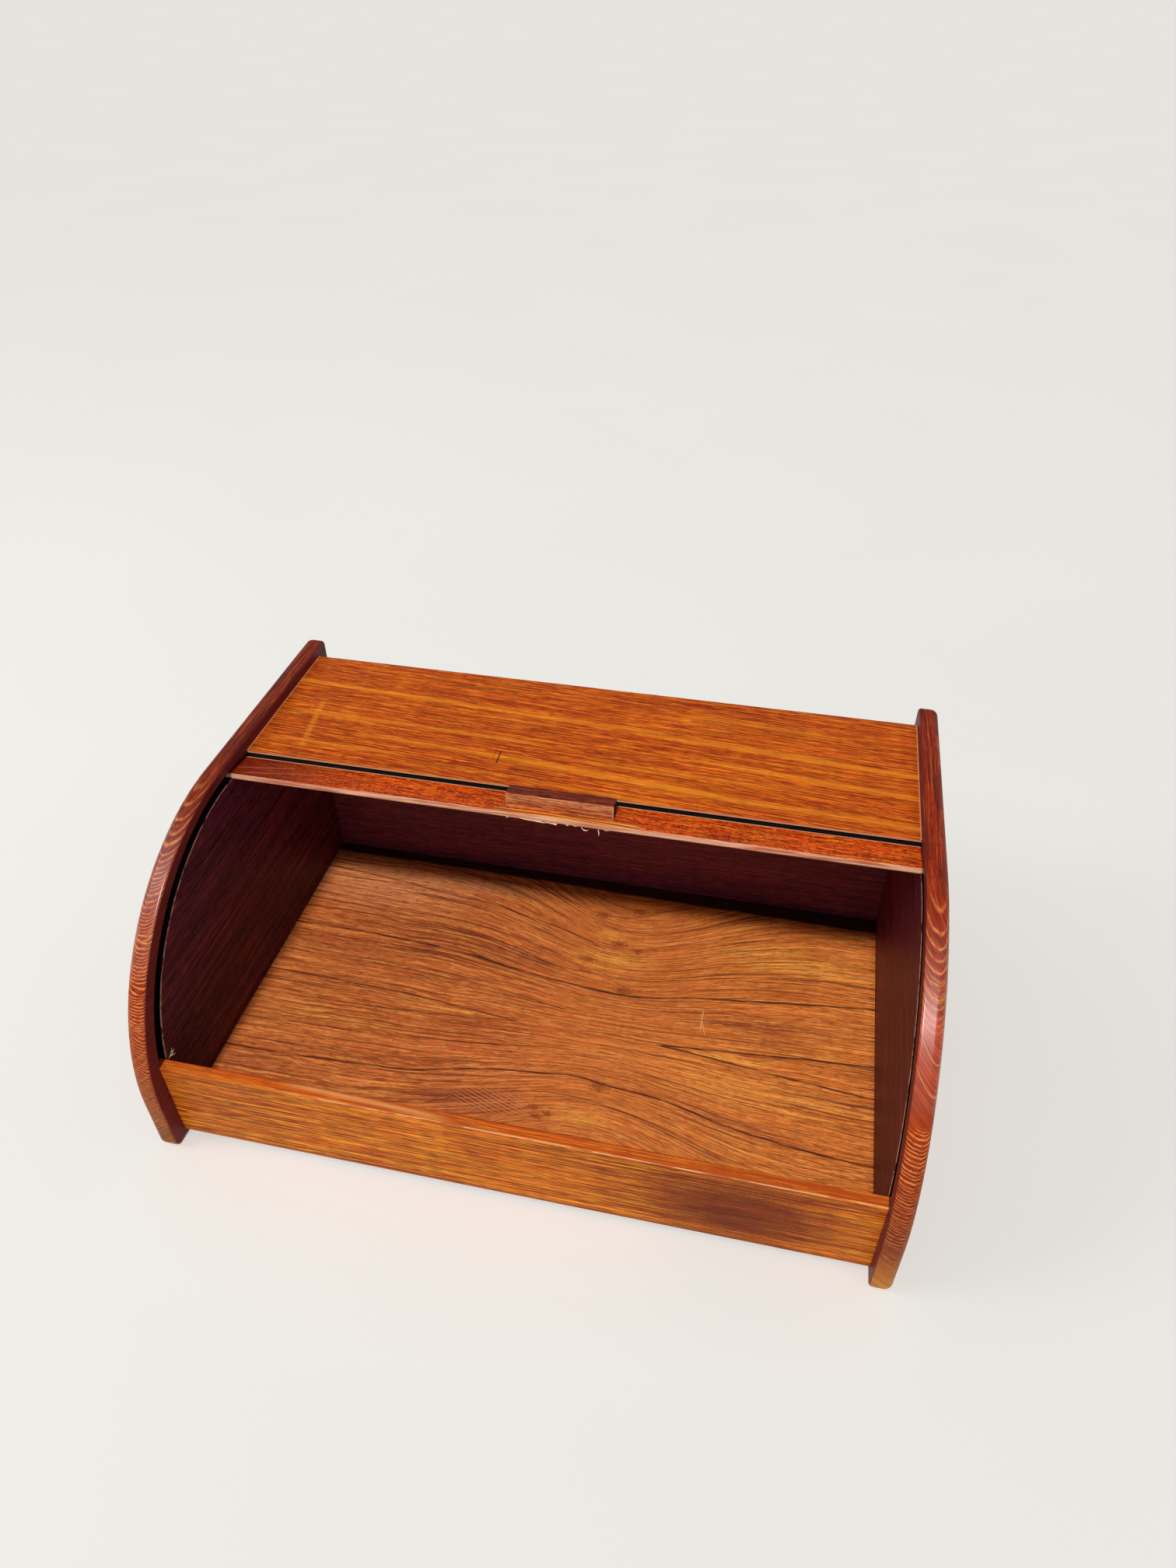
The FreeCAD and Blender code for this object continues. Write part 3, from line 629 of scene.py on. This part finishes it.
class Side:
    """One side of the case: where its faces, rim and groove are, and its growth rings."""

    def __init__(self, name, seed):
        self.shader = shader = Shader(name)
        self.seed = seed
        x, y, z = shader.x, shader.y, shader.z
        self.inward = inward = shader.size(x) - INNER_X
        over_y, over_z = y - TRACK.y, z - TRACK.z
        self.radius = shader.math("SQRT", over_y * over_y + over_z * over_z)
        bow = inward - 7.5
        self.warp = shader.noise(shader.vector(y / 70, z / 30, seed), 1) - 0.5
        fine_place = shader.vector(inward / 3.0, y / 12, z / 7 + seed)
        self.fine = shader.noise(fine_place, 2) - 0.5
        # The rings are nested arcs across the thickness
        self.level = z - bow * bow / 20.0 + 2.0 * self.warp + 0.9 * self.fine
        self.off_face = shader.rise(inward, SIDE_THICKNESS - 0.05, SIDE_THICKNESS - 0.5)
        self.on_rim = shader.rise(y, 10, -60) * self.off_face
        self.on_inner_face = shader.rise(inward, 0.35, 0.1)

    def ring_marks(self, rings, rows):
        """(pale lines, shadows under them) of the growth rings that cross the rim."""
        shader = self.shader
        across = self.inward - SIDE_THICKNESS / 2
        pale, shadow = 0.0, 0.0
        for height, lean, strength in rings:
            ring = self.level + lean * across
            pale = shader.most(shader.bell(ring, height, 0.5) * strength * 0.9, pale)
            shadow = shader.most(shader.bell(ring, height - 1.0, 1.0) * strength, shadow)
        drift = shader.noise(shader.vector(self.level / 10, self.seed, 0.5), 1)
        for low, high, pitch, lean, strength in rows:
            turn = shader.math("FRACT", (self.level + lean * across) / pitch + 4.0 * drift)
            belt = shader.band(shader.z, low, high, 4.0) * strength
            pale = shader.most(shader.bell(turn, 0.5, 0.26) * belt, pale)
            shadow = shader.most(shader.bell(turn, 0.9, 0.30) * belt * 0.8, shadow)
        return pale, shadow

    def outside(self, rim_tones, rings, rows):
        """(grain, colour) of the rim and the outer face."""
        shader, seed = self.shader, self.seed
        y, z = shader.y, shader.z
        stops = ((height / RIM_HEIGHT, tone) for height, tone in rim_tones)
        colour = shader.ramp(z / RIM_HEIGHT, *stops)
        grain = Grain(shader, y, z + 0.9 * self.inward, seed)
        colour = grain.dress(colour, RING_SHADOW, srgb(206, 98, 48), 0.7, 0.7)
        pale, shadow = self.ring_marks(rings, rows)
        broken_place = shader.vector(self.inward / 2.5, y / 5, z / 4 + seed)
        broken = shader.rise(shader.noise(broken_place, 2), 0.30, 0.58)
        colour = shader.mix(shadow * self.on_rim * 0.6, colour, RING_SHADOW)
        pale = pale * self.on_rim * (0.30 + 0.70 * broken)
        colour = shader.mix(pale, colour, srgb(246, 156, 84))
        lengthwise = grain.marks(60, 2.0, 0.44, 0.60, 47) * shader.rise(y, -50, 20)
        colour = shader.mix(lengthwise * 0.6, colour, srgb(54, 14, 12))
        flat_grain = Grain(shader, y, z, seed + 17, 14.0)
        outer = flat_grain.figure(OUTER_FACE, 150, 10)
        outer = flat_grain.dress(outer, srgb(78, 24, 14), srgb(206, 116, 66), 0.9, 0.9)
        return grain, shader.mix((1.0 - self.off_face) * 0.8, colour, outer)

    def inside(self, tones, dark_below):
        """Colour of the inner face: dusky streaks, painted shade below, redder outside the groove.
        """
        shader = self.shader
        grain = Grain(shader, shader.y, shader.z, self.seed + 31)
        face = grain.figure(tones, 140, 7)
        dusk = grain.marks(170, 12, 0.44, 0.58, 61)
        face = shader.mix(dusk * 0.6, face, srgb(42, 12, 22))
        height = shader.z + 14.0 * self.warp + 3.0 * self.fine
        # Painted shade: darker and bluer below the height dark_below.
        painted_shade_low = shader.rise(height, dark_below + 9, dark_below)
        face = shader.mix(painted_shade_low * 0.6, face, srgb(38, 12, 36))
        face = grain.dress(face, srgb(38, 10, 24), srgb(172, 72, 72), 0.9, 1.1)
        lip = shader.rise(self.radius, GROOVE_OUTER, GROOVE_OUTER + 0.3)
        return shader.mix(lip * 0.6, face, srgb(124, 42, 30))

    def add_groove(self, colour):
        """Adds the groove, painted near black as shade, and its chipped inner arris."""
        shader, inward, radius = self.shader, self.inward, self.radius
        in_depth = shader.rise(inward, 0.12, 0.30)
        in_depth = in_depth * shader.rise(inward, GROOVE_DEPTH + 0.6, GROOVE_DEPTH + 0.3)
        # Painted shade: the groove's walls and floor are coloured near black.
        groove = shader.band(radius, GROOVE_INNER - 0.3, GROOVE_OUTER + 0.3, 0.1) * in_depth
        colour = shader.mix(groove, colour, srgb(14, 8, 9))
        arris = shader.band(radius, GROOVE_INNER - 0.9, GROOVE_INNER, 0.1) * self.on_inner_face
        chips = shader.noise(shader.vector(shader.y / 4, shader.z / 4, radius), 3)
        chipped = shader.rise(chips, 0.38, 0.54)
        in_front = shader.rise(shader.y, 20, -10)
        worn = arris * chipped * in_front
        return shader.mix(worn * 0.85, colour, srgb(216, 160, 142))


def side_wood(name, seed, rim_tones, face_tones, rings, rows, dark_below):
    """Solid teak: growth rings cross the rim, and the inner face and groove are darker."""
    side = Side(name, seed)
    shader = side.shader
    grain, colour = side.outside(rim_tones, rings, rows)
    face = side.inside(face_tones, dark_below)
    colour = shader.mix(side.on_inner_face, colour, face)
    colour = side.add_groove(colour)
    # Hands have polished the rims where they curve over
    handled = shader.band(shader.z, 130, 165, 16) * (1.0 - side.on_inner_face) * side.on_rim
    return shader.finish(colour, 0.44, grain.pores(), 0.04, Specular_IOR_Level=0.08,
                         Coat_Weight=handled, Coat_Roughness=0.28)


def slat_wood(number, low, high):
    """A slat, straight-grained, each a little different. The first has painted shade, near black,
    beside the rail.
    """
    shader = Shader(f"slat_teak_{number:02d}")
    x, y, z = shader.x, shader.y, shader.z
    middle = (low + high) / 2
    turn = math.atan2(middle.y - TRACK.y, middle.z - TRACK.z)
    over_y, over_z = y - middle.y, z - middle.z
    width = over_y * math.cos(turn) - over_z * math.sin(turn)
    depth = over_y * math.sin(turn) + over_z * math.cos(turn)
    tilt = 0.010 * math.sin(2.3 * number)
    grain = Grain(shader, x + 37.0 * number, width + 0.6 * depth + tilt * x, 40.0 + number)
    lift = 12 * math.sin(1.7 * number)
    tones = [srgb(150 + lift, 58, 20), srgb(176 + lift, 80, 28), srgb(200 + lift, 104, 42)]
    colour = grain.figure(tones, 120, 4)
    colour = grain.dress(colour, srgb(108, 38, 14), srgb(238, 156, 78))
    roughness = 0.5
    if number == 1:
        # Painted shade: the first slat is near black where it meets the rail.
        painted_shade_by_rail = shader.rise(y, low.y + 3.4, low.y + 2.6)
        colour = shader.mix(painted_shade_by_rail, colour, srgb(9, 5, 6))
        roughness = 0.5 + 0.5 * painted_shade_by_rail
    return shader.finish(colour, roughness, grain.pores(), 0.05, Specular_IOR_Level=0.16)


def plain_veneer(name, seed, tones, dark, light):
    """A hidden or shaded panel, grain from left to right."""
    shader = Shader(name)
    grain = Grain(shader, shader.x, shader.z + shader.y, seed)
    colour = grain.figure(tones, 140, 9)
    colour = grain.dress(colour, dark, light)
    return shader.finish(colour, 0.52, grain.pores(), 0.04, Specular_IOR_Level=0.3)


def canvas_cloth():
    """Plain weave, seen on the inside of the curtain."""
    shader = Shader("canvas_cloth")
    x = shader.x
    over_y, over_z = shader.y - TRACK.y, shader.z - TRACK.z
    turned = shader.math("ARCTAN2", over_y, over_z) * GROOVE_INNER
    thread_pitch = 0.9
    warp = shader.math("SINE", x * (2 * math.pi / thread_pitch))
    weft = shader.math("SINE", turned * (2 * math.pi / thread_pitch))
    weave = 0.5 + 0.5 * warp * weft
    soil = shader.noise(shader.vector(x / 40, turned / 40), 4, 0.6)
    colour = shader.mix(weave, srgb(126, 108, 82), srgb(186, 170, 138))
    colour = shader.mix(shader.rise(soil, 0.4, 0.7) * 0.4, colour, srgb(112, 88, 62))
    return shader.finish(colour, 0.85, weave, 0.12)


def brass():
    """Dull screw brass."""
    shader = Shader("brass")
    place = shader.vector(shader.x / 1.5, shader.y / 1.5, shader.z / 1.5)
    dull = shader.noise(place, 3)
    colour = shader.mix(dull, srgb(150, 116, 62), srgb(206, 172, 104))
    return shader.finish(colour, 0.28 + 0.2 * dull, Metallic=1.0)


def split_wood():
    """Bare torn wood, pale."""
    shader = Shader("split_wood")
    spread = shader.noise(shader.vector(shader.x / 2, shader.y, shader.z), 3)
    colour = shader.mix(spread, srgb(222, 170, 130), srgb(252, 222, 190))
    return shader.finish(colour, 0.7, spread, 0.1)


def dress(obj, material):
    obj.data.materials.clear()
    obj.data.materials.append(material)


def dress_nodes():
    """Gives every CAD node its material."""
    # The inner back board: dark wood, made darker and bluer by painted shade
    painted_shade_lining = [srgb(88, 28, 60), srgb(116, 38, 68), srgb(142, 56, 74)]
    back = [srgb(134, 68, 34), srgb(158, 86, 44), srgb(180, 106, 58)]
    woods = {
        "left_side": side_wood("left_side_teak", 2.0, LEFT_RIM, LEFT_FACE,
                               LEFT_RINGS, LEFT_ROWS, 72),
        "right_side": side_wood("right_side_teak", 8.0, RIGHT_RIM, RIGHT_FACE,
                                RIGHT_RINGS, RIGHT_ROWS, 12),
        "top_panel": top_veneer(),
        "front_board": board_wood(),
        "bottom_panel": floor_veneer(),
        "lead_rail": rail_wood(),
        "handle": handle_wood(),
        "handle_screws": brass(),
        "canvas_backing": canvas_cloth(),
        "inner_back_board": plain_veneer("inner_back_teak", 21.0, painted_shade_lining,
                                         srgb(58, 18, 38), srgb(172, 86, 84)),
        "back_panel": plain_veneer("back_teak", 25.0, back,
                                   srgb(96, 46, 24), srgb(216, 152, 96)),
    }
    for number in range(1, SLATS + 1):
        name = f"slat_{number:02d}"
        woods[name] = slat_wood(number, *millimetres(name))
    for name, material in woods.items():
        dress(NODES[name], material)


# Torn fibres under the rail's front edge: (thickness, points across and outwards)
RAIL_STRANDS = [
    (0.5, [(-30.2, 124.7), (-29.2, 124.0), (-28.2, 124.1)]),
    (0.7, [(-23, 124.7), (-19, 124.3), (-14, 124.1), (-10, 124.3), (-7, 124.7)]),
    (0.5, [(-17, 124.5), (-12, 123.8), (-8, 123.6), (-5, 123.9)]),
    (0.6, [(-8, 124.6), (-4.5, 124.0), (-2, 123.7), (0, 124.4)]),
    (0.9, [(-2.6, 124.3), (-1.4, 123.6), (-0.4, 123.5), (0.2, 124.2)]),
    (0.5, [(4.6, 124.6), (6.0, 123.9), (7.4, 124.5)]),
    (0.4, [(8.4, 124.7), (10.5, 124.2), (12.5, 124.4)]),
    (0.65, [(14.2, 124.6), (14.6, 123.4), (15.6, 122.4), (17, 122.2), (18.4, 122.9)]),
    (0.65, [(24.0, 124.7), (24.1, 123.2), (24.5, 121.4), (24.2, 119.6)]),
    (0.4, [(26.0, 124.6), (28.5, 124.1), (31.0, 124.5)]),
]
# A chip of the left side by the front board's end: (thickness, points)
CHIP_STRANDS = [
    (0.5, [(-199.9, -125.5, 60.8), (-199.2, -123.5, 62.2), (-198.6, -121.5, 63.4),
           (-198.2, -120.4, 64.6)]),
    (0.4, [(-199.8, -124.5, 61.6), (-198.4, -122.8, 62.2), (-196.8, -121.4, 62.8)]),
    (0.35, [(-199.9, -122.6, 62.4), (-199.4, -121.2, 63.8), (-199.3, -120.2, 65.6)]),
]
STRAND_CORNERS = 5


def rail_point(x, back, out):
    """The place, in metres, of a point given in the rail's own coordinates."""
    cosine, sine = math.cos(RAIL_TURN), math.sin(RAIL_TURN)
    y = TRACK.y + back * cosine + out * sine
    z = TRACK.z - back * sine + out * cosine
    return Vector((x, y, z)) * MM


def strand_rings(mesh, thickness, points):
    """The rings of corners of one strand, which is thin at both ends."""
    rings = []
    for number, point in enumerate(points):
        before, after = points[max(number - 1, 0)], points[min(number + 1, len(points) - 1)]
        along = (after - before).normalized()
        across = along.orthogonal().normalized()
        share = number / (len(points) - 1)
        radius = 0.5 * thickness * MM * (0.15 + 0.85 * math.sin(math.pi * share) ** 0.6)
        angles = (2 * math.pi * corner / STRAND_CORNERS for corner in range(STRAND_CORNERS))
        turns = (Matrix.Rotation(angle, 3, along) for angle in angles)
        rings.append([mesh.verts.new(point + radius * (turn @ across)) for turn in turns])
    return rings


def fibres(name, strands, body, material):
    """One piece of loose wood fibres. A strand is (thickness in millimetres, points in metres)."""
    mesh = bmesh.new()
    for thickness, points in strands:
        rings = strand_rings(mesh, thickness, points)
        for ring, following in zip(rings, rings[1:]):
            for corner in range(STRAND_CORNERS):
                beside = (corner + 1) % STRAND_CORNERS
                mesh.faces.new((ring[corner], ring[beside], following[beside], following[corner]))
        mesh.faces.new(reversed(rings[0]))
        mesh.faces.new(rings[-1])
    bmesh.ops.recalc_face_normals(mesh, faces=mesh.faces)
    data = bpy.data.meshes.new(name)
    mesh.to_mesh(data)
    mesh.free()
    obj = bpy.data.objects.new(name, data)
    bpy.context.scene.collection.objects.link(obj)
    dress(obj, material)
    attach(obj, body)


def add_fibres():
    """Torn fibres under the rail's front edge, and a chip beside the front board."""
    strands = [(thickness, [rail_point(x, RAIL_EDGE, out) for x, out in points])
               for thickness, points in RAIL_STRANDS]
    fibres("rail_fibres", strands, "curtain", split_wood())
    strands = [(thickness, [Vector(point) * MM for point in points])
               for thickness, points in CHIP_STRANDS]
    fibres("side_chip", strands, "case", split_wood())


def add_floor():
    bpy.ops.mesh.primitive_plane_add(size=FLOOR_SIZE)
    floor = bpy.context.object
    floor.name = "studio_floor"
    shader = Shader("studio_floor")
    speckle = shader.noise(shader.vector(shader.x / 300, shader.y / 300), 2)
    lighter = (value + 4 for value in FLOOR_PAINT)
    colour = shader.mix(speckle, srgb(*FLOOR_PAINT), srgb(*lighter))
    dress(floor, shader.finish(colour, 0.9))


def add_lamp(data, towards, place=(0, 0, 0)):
    """A lamp whose light comes from the direction that towards points to."""
    lamp = bpy.data.objects.new(data.name, data)
    lamp.location = place
    lamp.rotation_mode = "QUATERNION"
    lamp.rotation_quaternion = towards.to_track_quat("Z", "Y")
    bpy.context.scene.collection.objects.link(lamp)


def add_world():
    """A weak fill light. The camera and clear reflections see the pale backdrop instead."""
    world = bpy.data.worlds.new("studio")
    bpy.context.scene.world = world
    world.use_nodes = True
    tree = world.node_tree
    fill = tree.nodes["Background"]
    fill.inputs["Color"].default_value = srgb(*FLOOR_PAINT)
    fill.inputs["Strength"].default_value = FILL_STRENGTH
    backdrop = tree.nodes.new("ShaderNodeBackground")
    backdrop.inputs["Color"].default_value = srgb(*FLOOR_PAINT)
    ray = tree.nodes.new("ShaderNodeLightPath")
    direct = ray.outputs["Is Camera Ray"]
    for kind in ("Is Glossy Ray", "Is Transmission Ray"):
        either = tree.nodes.new("ShaderNodeMath")
        either.operation = "MAXIMUM"
        tree.links.new(direct, either.inputs[0])
        tree.links.new(ray.outputs[kind], either.inputs[1])
        direct = either.outputs[0]
    seen = tree.nodes.new("ShaderNodeMixShader")
    tree.links.new(direct, seen.inputs[0])
    tree.links.new(fill.outputs[0], seen.inputs[1])
    tree.links.new(backdrop.outputs[0], seen.inputs[2])
    tree.links.new(seen.outputs[0], tree.nodes["World Output"].inputs["Surface"])


def add_light():
    key = bpy.data.lights.new("key", "SUN")
    key.energy = KEY_STRENGTH
    key.angle = KEY_SPREAD
    add_lamp(key, Vector(KEY_FROM))
    side = bpy.data.lights.new("side_lamp", "AREA")
    side.size = SIDE_LAMP_SIZE
    side.energy = SIDE_LAMP_POWER
    add_lamp(side, SIDE_LAMP_PLACE - SIDE_LAMP_AIM, SIDE_LAMP_PLACE)
    add_world()


add_camera()
bpy.context.scene.view_settings.view_transform = "Standard"
add_floor()
add_light()
dress_nodes()
add_fibres()
